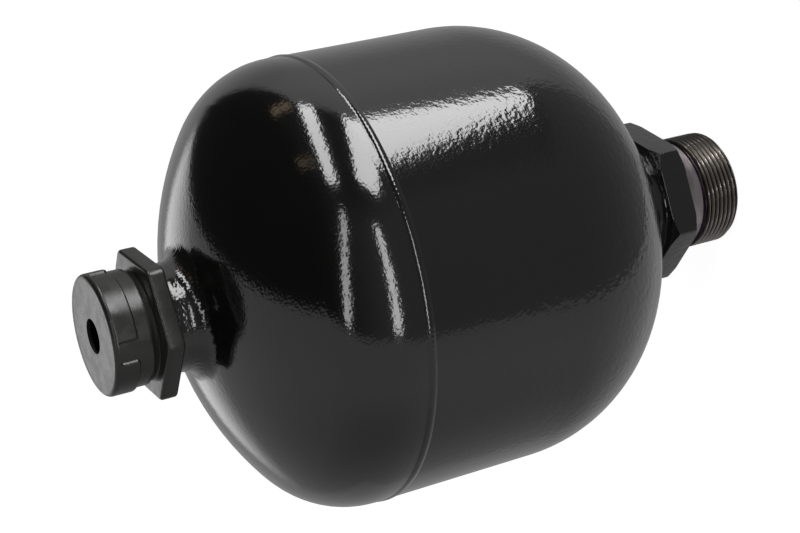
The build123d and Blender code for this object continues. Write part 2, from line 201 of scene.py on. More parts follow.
CAP_KNIT_MM = 0.05              # its depth
CAP_KNIT_WIDTH_MM = 0.16
CAP_FINE_STEP_MM = 0.07         # between rings where the band's outline changes
CAP_COARSE_STEP_MM = 0.3

# ---- where a material changes, in metres ----
PEEL_LEVELS = (0.135, 0.055)    # the paint's peel coarsens from one to the other
CAP_FACE_LEVELS = (0.1941, 0.1944)      # the cap's front face, from not yet to fully on it
CAP_FACE_RADII = (0.0150, 0.0146)
PORT_RUNOUT_LEVELS = (0.0115, 0.0119)   # the run-out of the port's outer thread, in the same way

# ---- how many points a piece has once round the axis ----
PORT_DIRECTIONS = 360
FINE_DIRECTIONS = 720
SEAM_DIRECTIONS = 1440
BLADDER_DIRECTIONS = 180


# ------------------------------------------------------------------ node trees
class Nodes:
    """A short way to write a node tree: a value given for an input is set, and a socket is linked."""

    def __init__(self, tree):
        self.tree = tree
        tree.nodes.clear()

    def put(self, socket, value):
        if isinstance(value, bpy.types.Node):
            value = value.outputs[0]
        if isinstance(value, bpy.types.NodeSocket):
            self.tree.links.new(value, socket)
        else:
            socket.default_value = value

    def add(self, kind, settings=None, **inputs):
        """A node with its settings and inputs. An input is named with _ for a space, or _0, _1 by number."""
        made = self.tree.nodes.new(kind)
        for name, value in (settings or {}).items():
            setattr(made, name, value)
        for name, value in inputs.items():
            key = int(name[1:]) if name[1:].isdigit() else name.replace("_", " ")
            self.put(made.inputs[key], value)
        return made

    def math(self, operation, first, second=0.0):
        return self.add("ShaderNodeMath", {"operation": operation}, _0=first, _1=second)

    def ramp(self, value, low, high, start=0.0, end=1.0):
        """start below low, end above high, and smooth between them."""
        smooth = {"interpolation_type": "SMOOTHSTEP"}
        return self.add("ShaderNodeMapRange", smooth, Value=value, From_Min=low, From_Max=high,
                        To_Min=start, To_Max=end)

    def above_zero(self, value):
        """The value, kept far enough above zero to divide by."""
        return self.math("MAXIMUM", value, 0.001)

    def all_of(self, *limits):
        """1 where every limit is met. A limit is a value, where it is not yet met and where it fully is."""
        found = self.ramp(*limits[0])
        for limit in limits[1:]:
            found = self.math("MULTIPLY", found, self.ramp(*limit))
        return found

    def bump(self, height, strength, distance):
        return self.add("ShaderNodeBump", Height=height, Strength=strength, Distance=distance)

    def surface(self, tint, roughness, bump, **inputs):
        """The shader that ends a material."""
        shader = self.add("ShaderNodeBsdfPrincipled", Base_Color=tint, Roughness=roughness, Normal=bump,
                          **inputs)
        self.add("ShaderNodeOutputMaterial", Surface=shader)

    def colours(self, factor, first, second):
        """A mix of two colours."""
        made = self.tree.nodes.new("ShaderNodeMix")
        made.data_type = "RGBA"
        for socket, value in zip((made.inputs[0], made.inputs[6], made.inputs[7]), (factor, first, second)):
            self.put(socket, value)
        return made.outputs[2]

    def dot(self, vector, axis):
        made = self.add("ShaderNodeVectorMath", {"operation": "DOT_PRODUCT"}, _0=vector, _1=tuple(axis))
        return made.outputs["Value"]

    def place(self):
        """The point on the surface, in the row frame's axes, in metres."""
        return self.add("ShaderNodeTexCoord").outputs["Object"]

    def noise(self, vector, scale, detail=2.0, roughness=0.5):
        return self.add("ShaderNodeTexNoise", Vector=vector, Scale=scale, Detail=detail, Roughness=roughness)

    def stretched(self, vector, *factors):
        """The same point with each axis scaled, to draw a pattern out."""
        return self.add("ShaderNodeVectorMath", {"operation": "MULTIPLY"}, _0=vector, _1=factors)

    def axis_parts(self, vector):
        """Distance from the Z axis, and height, of a point."""
        flat = self.stretched(vector, 1.0, 1.0, 0.0)
        radius = self.add("ShaderNodeVectorMath", {"operation": "LENGTH"}, _0=flat).outputs["Value"]
        height = self.add("ShaderNodeSeparateXYZ", _0=vector).outputs["Z"]
        return radius, height


def grey(value):
    return (value, value, value, 1.0)


def new_material(name):
    made = bpy.data.materials.new(name)
    made.use_nodes = True
    return made, Nodes(made.node_tree)


# ------------------------------------------------------------------ camera, room and lights
def make_camera():
    lens = bpy.data.cameras.new("camera")
    lens.lens = CAMERA_LENS
    lens.sensor_width = 36.0
    lens.clip_start = 0.01
    shown = bpy.data.objects.new("camera", lens)
    bpy.context.scene.collection.objects.link(shown)
    level = (CAMERA_AIM - CAMERA_PLACE).to_track_quat("-Z", "Y")
    shown.rotation_mode = "QUATERNION"
    shown.rotation_quaternion = level @ Quaternion((0, 0, 1), radians(CAMERA_ROLL))
    shown.location = CAMERA_PLACE
    bpy.context.scene.camera = shown


def in_row_frame(right, up, front):
    return STUDIO_RIGHT * right + STUDIO_UP * up + STUDIO_FRONT * front


def make_room():
    """White to the camera. Light and reflections see a pale table and sweep in an otherwise dark room."""
    world = bpy.data.worlds.new("room")
    bpy.context.scene.world = world
    world.use_nodes = True
    n = Nodes(world.node_tree)
    ray = n.add("ShaderNodeTexCoord").outputs["Generated"]
    up, right, front = (n.dot(ray, axis) for axis in (STUDIO_UP, STUDIO_RIGHT, STUDIO_FRONT))
    # where a ray that goes down meets the table, counted in heights of the vessel's axis above it
    down = n.above_zero(n.math("MULTIPLY", up, -1.0))
    sideways = n.math("DIVIDE", right, down)
    toward = n.math("DIVIDE", front, down)
    table = n.all_of((up, *TABLE_BACK), (sideways, *TABLE_RIGHT), (sideways, *TABLE_LEFT),
                     (toward, *TABLE_FRONT))
    # where a ray that goes away from the camera meets the sweep behind the table
    away = n.above_zero(n.math("MULTIPLY", front, -1.0))
    aside = n.math("ABSOLUTE", n.math("DIVIDE", right, away))
    height = n.math("DIVIDE", up, away)
    sweep = n.all_of((front, *SWEEP_BACK), (aside, *SWEEP_SIDE), (height, *SWEEP_TOP))
    light = n.colours(n.ramp(right, -0.75, 0.6), grey(ROOM_DARK), grey(ROOM_PALE))
    light = n.colours(n.ramp(up, 0.7, 0.95), light, grey(CEILING))
    # the stands of the left lamp catch a little warm light
    above = n.above_zero(up)
    reach = n.math("DIVIDE", right, above)
    for place, width, shade in LAMP_STANDS:
        off = n.math("ABSOLUTE", n.math("SUBTRACT", n.math("DIVIDE", front, above), place))
        stand = n.all_of((off, width, width * 0.5), (up, *LAMP_STAND_HEIGHT), (reach, *LAMP_STAND_FAR),
                         (reach, *LAMP_STAND_NEAR))
        light = n.colours(stand, light, shade)
    # the table is darker in the vessel's own shadow, straight down, and brightest at the far left
    light = n.colours(table, light, n.colours(n.ramp(up, -0.45, -0.95), grey(TABLE_FAR), grey(TABLE_UNDER)))
    far_left = n.dot(ray, in_row_frame(*GLARE_WAY))
    glare = n.math("MULTIPLY", table, n.ramp(far_left, 0.85, 1.0))
    light = n.colours(glare, light, grey(TABLE_GLARE))
    light = n.colours(sweep, light, n.colours(n.ramp(up, 0.35, 0.8), grey(SWEEP_LOW), grey(SWEEP_HIGH)))
    light = n.colours(n.add("ShaderNodeLightPath").outputs["Is Camera Ray"], light, grey(1.0))
    shade = n.add("ShaderNodeBackground", Color=light, Strength=1.0)
    n.add("ShaderNodeOutputWorld", Surface=shade)


def make_soft_box(name, place, across, along, long_axis, brightness):
    """A rectangular lamp that faces the vessel's axis square on, placed in studio axes (right, up, front).

    An overhead box faces straight down and an upright one stands level; long_axis is its long side.
    """
    lamp = bpy.data.lights.new(name, "AREA")
    lamp.shape = "RECTANGLE"
    lamp.size, lamp.size_y = across, along
    lamp.energy = brightness * pi * across * along
    shown = bpy.data.objects.new(name, lamp)
    bpy.context.scene.collection.objects.link(shown)
    tall = in_row_frame(*long_axis).normalized()
    toward = in_row_frame(*place)
    behind = (toward - tall * toward.dot(tall)).normalized()
    shown.rotation_euler = Matrix((tall.cross(behind), tall, behind)).transposed().to_euler()
    shown.location = CENTRE + toward
    shown.visible_camera = False


def make_lights():
    """Two long soft boxes overhead and two uprights in front, as a product table has."""
    for name, values in SOFT_BOXES.items():
        make_soft_box(name, *values)


# ------------------------------------------------------------------ materials
def gloss_paint():
    """Thick sprayed black enamel over deep-drawn steel. The orange peel coarsens toward the fluid end."""
    made, n = new_material("gloss_paint")
    place = n.place()
    height = n.axis_parts(place)[1]
    fine = n.noise(place, 1300.0, 1.0)
    peel = n.noise(place, 560.0, 1.0)
    relief = n.math("ADD", fine, n.math("MULTIPLY", peel, n.ramp(height, *PEEL_LEVELS, 0.8, 4.0)))
    bump = n.bump(relief, 1.0, 0.000028)
    tint = n.colours(n.noise(place, 30.0), (0.0035, 0.0035, 0.0036, 1), (0.005, 0.005, 0.0046, 1))
    n.surface(tint, 0.12, bump, Coat_Normal=bump, Coat_Weight=1.0, Coat_Roughness=0.075)
    return made


def rough_paint():
    """The same enamel over weld metal and a rough-turned neck, where grain breaks up the light."""
    made, n = new_material("rough_paint")
    place = n.place()
    coarse = n.noise(place, 900.0, 2.0)
    fine = n.noise(place, 2600.0, 1.0)
    relief = n.math("ADD", coarse, n.math("MULTIPLY", fine, 0.5))
    bump = n.bump(relief, 1.0, 0.00004)
    tint = n.colours(coarse, grey(0.0035), (0.0055, 0.005, 0.0045, 1))
    n.surface(tint, 0.14, bump, Coat_Normal=bump, Coat_Weight=1.0, Coat_Roughness=0.03)
    return made


def cap_plastic():
    """Black moulded polyethylene. Its front face has a painted highlight, paler toward one side."""
    made, n = new_material("cap_plastic")
    place = n.place()
    radius, height = n.axis_parts(place)
    bump = n.bump(n.noise(place, 2500.0), 0.5, 0.00002)
    tint = n.colours(n.noise(place, 160.0), (0.012, 0.012, 0.011, 1), (0.018, 0.018, 0.016, 1))
    face = n.all_of((height, *CAP_FACE_LEVELS), (radius, *CAP_FACE_RADII))
    # painted highlight: the face's colour grows paler toward one side, standing in for a broad reflection
    face_painted_highlight = n.colours(n.ramp(n.dot(place, (0, 1, 0)), 0.012, -0.012), grey(0.008), grey(0.05))
    tint = n.colours(face, tint, face_painted_highlight)
    sheen = n.ramp(n.noise(place, 300.0), 0.3, 0.7, 0.24, 0.32)
    n.surface(tint, sheen, bump, Specular_IOR_Level=0.7)
    return made


def phosphated_steel():
    """Cut steel threads with a thin brown phosphate: dark brown down in the groove, where the phosphate's
    brown is deepened by painted shade, and lighter on the crest.
    """
    made, n = new_material("phosphated_steel")
    place = n.place()
    radius, height = n.axis_parts(place)
    crest = PORT_THREAD_MM / 2
    # painted shade: 0 down in the groove, dark brown, and 1 on the crest, pale metal
    groove_shade_ramp = n.ramp(radius, (crest - 0.75) * MM, (crest - 0.2) * MM)
    turned = n.noise(n.stretched(place, 1.0, 1.0, 9.0), 500.0, 3.0)
    tint = n.colours(groove_shade_ramp, (0.085, 0.068, 0.056, 1), (0.44, 0.42, 0.395, 1))
    tint = n.colours(n.ramp(turned, 0.45, 0.85, 0.0, 0.6), tint, (0.16, 0.135, 0.115, 1))
    # the run-out of the thread is dark violet: painted shade where the thread meets the relief, in the
    # coating's violet tint
    tint = n.colours(n.ramp(height, *PORT_RUNOUT_LEVELS), tint, (0.035, 0.027, 0.04, 1))
    roughness = n.ramp(turned, 0.2, 0.8, 0.26, 0.38)
    n.surface(tint, roughness, n.bump(turned, 0.1, 0.0001), Metallic=1.0)
    return made


def relief_steel():
    """The undercut behind the thread: fine-turned, clean and faintly pink."""
    made, n = new_material("relief_steel")
    place = n.place()
    marks = n.noise(n.stretched(place, 0.12, 0.12, 5.0), 800.0, 2.0)
    stain = n.ramp(n.noise(place, 170.0, 2.0), 0.4, 0.7)
    tint = n.colours(stain, (0.46, 0.405, 0.415, 1), (0.30, 0.265, 0.28, 1))
    n.surface(tint, n.ramp(marks, 0.3, 0.7, 0.28, 0.4), n.bump(marks, 0.1, 0.0001), Metallic=1.0)
    return made


def turned_steel():
    """Bare machined steel with fine tool marks round it."""
    made, n = new_material("turned_steel")
    place = n.place()
    marks = n.noise(n.stretched(place, 0.15, 0.15, 6.0), 900.0, 2.0)
    tint = n.colours(n.noise(place, 90.0), (0.42, 0.41, 0.40, 1), (0.52, 0.51, 0.49, 1))
    n.surface(tint, n.ramp(marks, 0.3, 0.7, 0.25, 0.38), n.bump(marks, 0.1, 0.0001), Metallic=1.0)
    return made


def moulded_rubber():
    """Black nitrile rubber with a slight bloom."""
    made, n = new_material("moulded_rubber")
    place = n.place()
    skin = n.noise(place, 1500.0, 3.0)
    tint = n.colours(n.ramp(n.noise(place, 60.0, 3.0), 0.4, 0.7), grey(0.012), grey(0.022))
    n.surface(tint, 0.55, n.bump(skin, 0.15, 0.0003))
    return made


# ------------------------------------------------------------------ turned meshes
def around(directions):
    """Evenly spaced angles once round the axis."""
    return np.arange(directions) * 2 * pi / directions


def turned_mesh(name, rings, directions, sharp_degrees=32.0):
    """A closed mesh through rings that run once round a turned outline, the last joining the first.

    A ring is a radius and a height in millimetres, each one number or one for each direction.
    """
    turn = around(directions)
    radii = np.array([np.broadcast_to(radius, directions) for radius, height in rings]) * MM
    heights = np.array([np.broadcast_to(height, directions) for radius, height in rings]) * MM
    points = np.stack([radii * np.cos(turn), radii * np.sin(turn), heights], -1).reshape(-1, 3)
    lower = np.arange(len(rings))[:, None]
    upper = (lower + 1) % len(rings)
    here = np.arange(directions)[None, :]
    beside = (here + 1) % directions
    corners = (lower * directions + here, lower * directions + beside,
               upper * directions + beside, upper * directions + here)
    faces = np.stack(corners, -1).reshape(-1, 4)
    data = bpy.data.meshes.new(name)
    data.from_pydata(points.tolist(), [], faces.tolist())
    editing = bmesh.new()
    editing.from_mesh(data)
    bmesh.ops.recalc_face_normals(editing, faces=editing.faces)
    editing.to_mesh(data)
    editing.free()
    data.shade_smooth()
    data.set_sharp_from_angle(angle=radians(sharp_degrees))
    made = bpy.data.objects.new(name, data)
    bpy.context.scene.collection.objects.link(made)
    return made


def arc(first, through, last, steps):
    """Points along an arc through three (radius, height) points, and their normals away from its centre.

    Each comes as a row of radii and a row of heights.
    """
    (ax, ay), (bx, by), (cx, cy) = first, through, last
    scale = 2 * (ax * (by - cy) + bx * (cy - ay) + cx * (ay - by))
    a, b, c = ax * ax + ay * ay, bx * bx + by * by, cx * cx + cy * cy
    centre = np.array([a * (by - cy) + b * (cy - ay) + c * (ay - by),
                       a * (cx - bx) + b * (ax - cx) + c * (bx - ax)]) / scale
    begin = atan2(ay - centre[1], ax - centre[0])
    sweep = (atan2(cy - centre[1], cx - centre[0]) - begin + pi) % (2 * pi) - pi
    angles = begin + sweep * np.linspace(0, 1, steps + 1)
    unit = np.stack([np.cos(angles), np.sin(angles)])
    return centre[:, None] + unit * hypot(ax - centre[0], ay - centre[1]), unit


def thread_radius(crest, pitch, depth, heights, turn):
    """Radius of a metric thread at each height and direction. An inner thread has a negative depth."""
    turns = np.asarray(heights)[..., None] / pitch - turn / (2 * pi)
    from_crest = abs(turns % 1.0 - 0.5) * 2         # 0 on the crest, 1 in the root
    crest_end, root_start = 0.125, 0.75             # the flats of a metric profile
    share = np.clip((from_crest - crest_end) / (root_start - crest_end), 0, 1)
    return crest - depth * share


def thread_rings(crest, pitch, depth, start, end, step, limit, turn):
    """Rings along a thread. limit(height) is the plain outline that the thread is cut back to."""
    heights = np.linspace(start, end, round(abs(end - start) / step) + 1)
    cut = np.minimum if depth > 0 else np.maximum
    return [(cut(radii, limit(height)), height)
            for height, radii in zip(heights, thread_radius(crest, pitch, depth, heights, turn))]


def levels(node, diameter):
    """Lowest and highest level at which a CAD node has an edge of this diameter, in millimetres."""
    points = np.array([vertex.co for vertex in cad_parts[node].data.vertices]) / MM
    found = points[abs(np.hypot(points[:, 0], points[:, 1]) - diameter / 2) < EDGE_TOLERANCE_MM, 2]
    return float(found.min()), float(found.max())


def unevenness(seed, size, radius, heights, turn, lengthen=1.0):
    """Smooth random relief about 1 high, of lumps about size across, seamless round the axis.

    heights has one entry for each ring. lengthen above 1 draws the lumps out round the axis.
    """
    chance = np.random.default_rng(seed)
    relief = np.zeros((len(heights), len(turn)))
    for _ in range(40):
        heading = chance.uniform(0, pi)
        stride = size * chance.uniform(1.6, 2.8)
        turns = round(2 * pi * radius * cos(heading) / (stride * lengthen))
        rate = 2 * pi * sin(heading) / stride
        relief += np.sin(turns * turn + rate * np.asarray(heights)[:, None] + chance.uniform(0, 2 * pi))
    return relief / relief.std() / 2


def held_ends(count, rate):
    """A factor for each ring along a bead: 0 on the first and last, and 1 a short way in from them."""
    share = np.linspace(0, 1, count)
    return np.minimum(share * rate, share[::-1] * rate).clip(0, 1)[:, None]


def raised(points, normals, rise):
    """Rings at the points of an arc, each moved along its normal by its row of rise."""
    return [(radius + across * row, height + up * row)
            for radius, height, across, up, row in zip(*points, *normals, rise)]


def quarter_turn(steps, start=0.0):
    """Sine and cosine of evenly spaced angles from start of a quarter turn up to all of it."""
    return [(sin(share * pi / 2), cos(share * pi / 2)) for share in np.linspace(start, 1, steps)]


def finish_piece(piece, body, node, slot, *materials):
    for material in materials:
        piece.data.materials.append(material)
    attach(piece, body)
    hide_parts(node)


# ------------------------------------------------------------------ fluid port
def hexagon_radius(across_flats, rounding, turn):
    """Distance from the axis to a hexagon with rounded corners, corners on X, in each direction."""
    flat = across_flats / 2
    off_flat = abs((turn / radians(60)) % 1.0 - 0.5) * radians(60)
    centre = (flat - rounding) / cos(radians(30))
    off_corner = radians(30) - off_flat
    round_part = centre * np.cos(off_corner) + np.sqrt(
        np.maximum(rounding**2 - (centre * np.sin(off_corner)) ** 2, 0))
    tangent = np.arctan2((flat - rounding) * tan(radians(30)), flat)
    return np.where(off_flat < tangent, flat / np.cos(off_flat), round_part)


def hexagon_rings(bottom, top, turn):
    """The spanner hexagon from its thread side to its collar side, with turned-off corners."""
    size = hexagon_radius(PORT_HEX_MM, PORT_HEX_CORNER_MM, turn)
    start = PORT_HEX_CHAMFER_MM / 2
    drop = np.maximum(size - start, 0) * tan(radians(30))
    face = np.minimum(size, start)
    edge = PORT_HEX_EDGE_MM
    return [
        (PORT_COLLAR_MM / 2, bottom),
        (face - edge, bottom),
        (face - edge * 0.3, bottom + edge * 0.15),
        (size - edge * 0.05, bottom + drop + edge * 0.5),
        (size, bottom + drop + edge * 1.2),
        (size, top - drop - edge * 1.2),
        (size - edge * 0.05, top - drop - edge * 0.5),
        (face - edge * 0.3, top - edge * 0.15),
        (face - edge, top),
        (PORT_COLLAR_MM / 2 + 0.01, top),
    ]


def make_port():
    """The port with both its threads cut, from the end face out, round the hexagon and back up the bore."""
    turn = around(PORT_DIRECTIONS)
    node = "fluid_port"
    thread, relief, bore = PORT_THREAD_MM / 2, PORT_RELIEF_MM / 2, PORT_BORE_MM / 2
    collar, spigot, passage = PORT_COLLAR_MM / 2, PORT_SPIGOT_MM / 2, PORT_PASSAGE_MM / 2
    thread_end, hex_bottom = levels(node, PORT_RELIEF_MM)
    hex_top, seat = levels(node, PORT_COLLAR_MM)
    inner_end = levels(node, PORT_SPIGOT_MM)[1]
    bore_end = levels(node, PORT_BORE_MM)[1]
    drill_end, mouth_start = levels(node, PORT_PASSAGE_MM)
    mouth = inner_end - mouth_start
    entry = bore + PORT_BORE_CHAMFER_MM

    def outer_limit(height):
        return min(thread - THREAD_CHAMFER_MM + height, relief + thread_end - height)

    def inner_limit(height):
        return max(entry - height, 0)

    rings = [(entry, 0.0)]
    rings += thread_rings(thread, PORT_PITCH_MM, OUTER_THREAD_DEPTH_MM, 0.0, thread_end,
                          PORT_THREAD_STEP_MM, outer_limit, turn)
    rings += [(relief, thread_end + 0.01), (relief, hex_bottom - 0.4), (relief + 0.12, hex_bottom - 0.12),
              (relief + 0.4, hex_bottom)]
    rings += hexagon_rings(hex_bottom, hex_top, turn)
    # turning marks and a thick coat on the collar
    collar_heights = np.linspace(hex_top + 0.2, seat - 0.1, 28)
    coat = unevenness(3, 0.9, collar, collar_heights, turn, 2.5) * COLLAR_COAT_MM - COLLAR_COAT_MM
    rings += [(collar + row, height) for row, height in zip(coat, collar_heights)]
    rings += [(collar, seat), (spigot, seat), (spigot, inner_end), (passage + mouth, inner_end),
              (passage, inner_end - mouth), (passage, drill_end), (bore, bore_end)]
    rings += thread_rings(bore, PORT_PITCH_MM, INNER_THREAD_DEPTH_MM, bore_end - 1.5, 0.05,
                          THREAD_STEP_MM, inner_limit, turn)
    piece = turned_mesh("port", rings, PORT_DIRECTIONS)
    coats = (STEEL, RELIEF_STEEL, PAINT, ROUGH_PAINT, TURNED)
    finish_piece(piece, "vessel", node, "port_metal", *coats)
    for face in piece.data.polygons:
        height = face.center.z / MM
        outward = hypot(face.center.x, face.center.y) / MM
        if outward < bore + 1.0 or height > seat:
            face.material_index = coats.index(TURNED)
        elif height > hex_top - 0.02:
            face.material_index = coats.index(ROUGH_PAINT)
        elif height > hex_bottom - 0.3 and outward > relief + 0.2:
            face.material_index = coats.index(PAINT)
        elif height > thread_end - 0.05:
            face.material_index = coats.index(RELIEF_STEEL)


# ------------------------------------------------------------------ weld beads
def make_fillet(name, node, collar, start, toe, low, hollow, root):
    """A weld fillet round a collar, along the hollow face of its CAD node, with frozen ripples and lumps.

    The face runs from the collar at start to the toe at low, and root runs under it back to the collar.
    """
    turn = around(FINE_DIRECTIONS)
    steps = 26
    middle = (collar * hollow + toe * (1 - hollow), start * (1 - hollow) + low * hollow)
    points, normals = arc((collar, start), middle, (toe, low), steps)
    radii, heights = points
    along = np.append(0, np.hypot(np.diff(radii), np.diff(heights)).cumsum())
    lumpy = unevenness(WELD_SEED, 1.1, radii.mean(), along, turn)
    wander = unevenness(WELD_SEED + 1, 9.0, radii.mean(), along, turn) * 1.5
    wave = np.sin(WELD_RIPPLES[name] * turn + wander)
    strength = WELD_LUMPS_MM[name]
    rise = (lumpy * strength + wave * strength * 0.5) * held_ends(steps + 1, 6)
    # the arc's centre is outside the metal, so its normals point into it
    piece = turned_mesh(name, raised(points, normals, -rise) + root, FINE_DIRECTIONS, 50.0)
    finish_piece(piece, "vessel", node, "shell_paint", ROUGH_PAINT)


def make_fillets():
    """The welds of the gas boss and of the fluid port."""
    neck = BOSS_NECK_MM / 2
    seat, start = levels("gas_boss_weld", BOSS_NECK_MM)
    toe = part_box("gas_boss_weld")[1].x / MM
    low = levels("gas_boss_weld", 2 * toe)[1]
    make_fillet("boss_weld", "gas_boss_weld", neck, start, toe, low, BOSS_WELD_HOLLOW, [(neck, seat)])
    collar = PORT_COLLAR_MM / 2
    start, seat = levels("fluid_port_weld", PORT_COLLAR_MM)
    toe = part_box("fluid_port_weld")[1].x / MM
    low, high = levels("fluid_port_weld", 2 * toe)
    make_fillet("port_weld", "fluid_port_weld", collar, start, toe, low, PORT_WELD_HOLLOW,
                [(toe, high), (collar, seat)])


def make_seam():
    """The girth weld: a low rounded bead with fine ripples, and its root through the wall."""
    turn = around(SEAM_DIRECTIONS)
    node = "girth_weld"
    bead = SEAM_OUTER_MM / 2
    low, high = levels(node, SEAM_OUTER_MM)
    crown = (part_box(node)[1].x / MM, (low + high) / 2)
    steps = 14
    points, normals = arc((bead, low), crown, (bead, high), steps)
    heights = points[1]
    wander = unevenness(5, 12.0, bead, heights, turn)
    chevron = abs(heights - crown[1])[:, None] * 2.0
    wave = np.sin(SEAM_RIPPLES * turn + wander * 2 + chevron)
    drift = unevenness(6, 3.0, bead, heights, turn)
    rise = (wave * SEAM_RIPPLE_MM + drift * SEAM_LUMPS_MM - SEAM_SETBACK_MM) * held_ends(steps + 1, 5)
    inner = SEAM_ROOT_MM / 2
    root_low, root_high = levels(node, SEAM_ROOT_MM)
    rings = raised(points, normals, rise) + [(inner, root_high), (inner, root_low)]
    piece = turned_mesh("seam", rings, SEAM_DIRECTIONS, 50.0)
    finish_piece(piece, "vessel", node, "shell_paint", PAINT)


# ------------------------------------------------------------------ gas boss
def make_boss():
    """The filling boss: rough painted neck, outer thread, and the stepped hole for the charging screw."""
    turn = around(FINE_DIRECTIONS)
    node = "gas_boss"
    neck, thread, relief = BOSS_NECK_MM / 2, BOSS_THREAD_MM / 2, BOSS_RELIEF_MM / 2
    spigot, passage = BOSS_SPIGOT_MM / 2, BOSS_PASSAGE_MM / 2
    pocket, seal, hole = BOSS_POCKET_MM / 2, BOSS_SEAL_MM / 2, BOSS_HOLE_MM / 2
    seat, neck_top = levels(node, BOSS_NECK_MM)
    relief_top = levels(node, BOSS_RELIEF_MM)[1]
    head_seat, end = levels(node, BOSS_POCKET_MM)
    seal_seat = levels(node, BOSS_SEAL_MM)[0]
    cone_top = levels(node, BOSS_HOLE_MM)[0]
    inner_end, cone_low = levels(node, BOSS_PASSAGE_MM)

    def limit(height):
        return min(relief + height - relief_top, thread, thread - THREAD_CHAMFER_MM + end - height)

    rings = [(passage, inner_end), (spigot, inner_end), (spigot, seat), (neck - 0.05, seat)]
    heights = np.arange(seat + 0.2, neck_top - 0.1, 0.15)
    grain = unevenness(11, 0.42, neck, heights, turn, 1.5) * NECK_GRAIN_MM
    ridges = unevenness(12, 1.3, neck, heights, turn, 14.0) * NECK_RIDGE_MM
    rows = np.clip(grain + ridges, -0.15, NECK_SETBACK_MM)
    rings += [(neck - NECK_SETBACK_MM + row, height) for row, height in zip(rows, heights)]
    rings += [(neck - 0.05, neck_top), (relief, neck_top), (relief, relief_top)]
    rings += thread_rings(thread, BOSS_PITCH_MM, OUTER_THREAD_DEPTH_MM, relief_top + 0.1, end,
                          THREAD_STEP_MM, limit, turn)
    rings += [(pocket, end), (pocket, head_seat), (seal, head_seat), (seal, seal_seat), (hole, seal_seat),
              (hole, cone_top), (passage, cone_low)]
    piece = turned_mesh("boss", rings, FINE_DIRECTIONS, 40.0)
    coats = (ROUGH_PAINT, TURNED)
    finish_piece(piece, "vessel", node, "shell_paint", *coats)
    for face in piece.data.polygons:
        height = face.center.z / MM
        if height > neck_top + 0.01 or hypot(face.center.x, face.center.y) / MM < neck - 1.0:
            face.material_index = coats.index(TURNED)


# ------------------------------------------------------------------ protective cap
def cap_band_share(height, turn, rear, front):
    """How high the grip band stands at a level, 0 to 1 for each direction, with the notches cut in it.

    It is drawn by the distance in from the band's rear edge and from the notches, which flare at the rear.
    """
    notch_turn = radians(CAP_NOTCH_TURN + CAP_TURN)
    off_notch = (turn - notch_turn + pi / 4) % (pi / 2) - pi / 4
    aside = abs(off_notch) * CAP_BAND_MM / 2
    corner = CAP_NOTCH_CORNER_MM
    across = aside - CAP_NOTCH_MM / 2 + corner
    ahead = height - front + corner
    from_notch = np.hypot(np.maximum(across, 0), max(ahead, 0)) + np.minimum(np.maximum(across, ahead), 0)
    from_notch -= corner
    from_rear = height - rear
    flare = CAP_NOTCH_FLARE_MM
    gap_notch = flare - from_notch
    gap_rear = flare - from_rear
    rounded = flare - np.hypot(np.maximum(gap_notch, 0), max(gap_rear, 0))
    inside = np.where((gap_notch > 0) & (gap_rear > 0), rounded, np.minimum(from_notch, from_rear))
    # a short steep wall, then a rounded edge
    edge = CAP_BAND_EDGE_MM
    wall = np.clip(inside / CAP_BAND_STEEP_MM, 0, 1) * (1 - edge / CAP_RISE_MM)
    round_part = np.sqrt(1 - (1 - np.clip(inside / edge, 0, 1)) ** 2) * edge / CAP_RISE_MM
    return wall + round_part


def cap_flange_rings(low, top, facing):
    """The hexagon flange with both its edges rounded."""
    edge = CAP_FLANGE_EDGE_MM
    lower = [(edge * (1 - sine), low + edge * (1 - cosine)) for sine, cosine in quarter_turn(7)]
    upper = [(edge * (1 - cosine), top - edge * (1 - sine)) for sine, cosine in quarter_turn(7)]
    return [(hexagon_radius(CAP_FLATS_MM - 2 * inset, CAP_CORNER_MM - inset, facing), height)
            for inset, height in lower + upper]


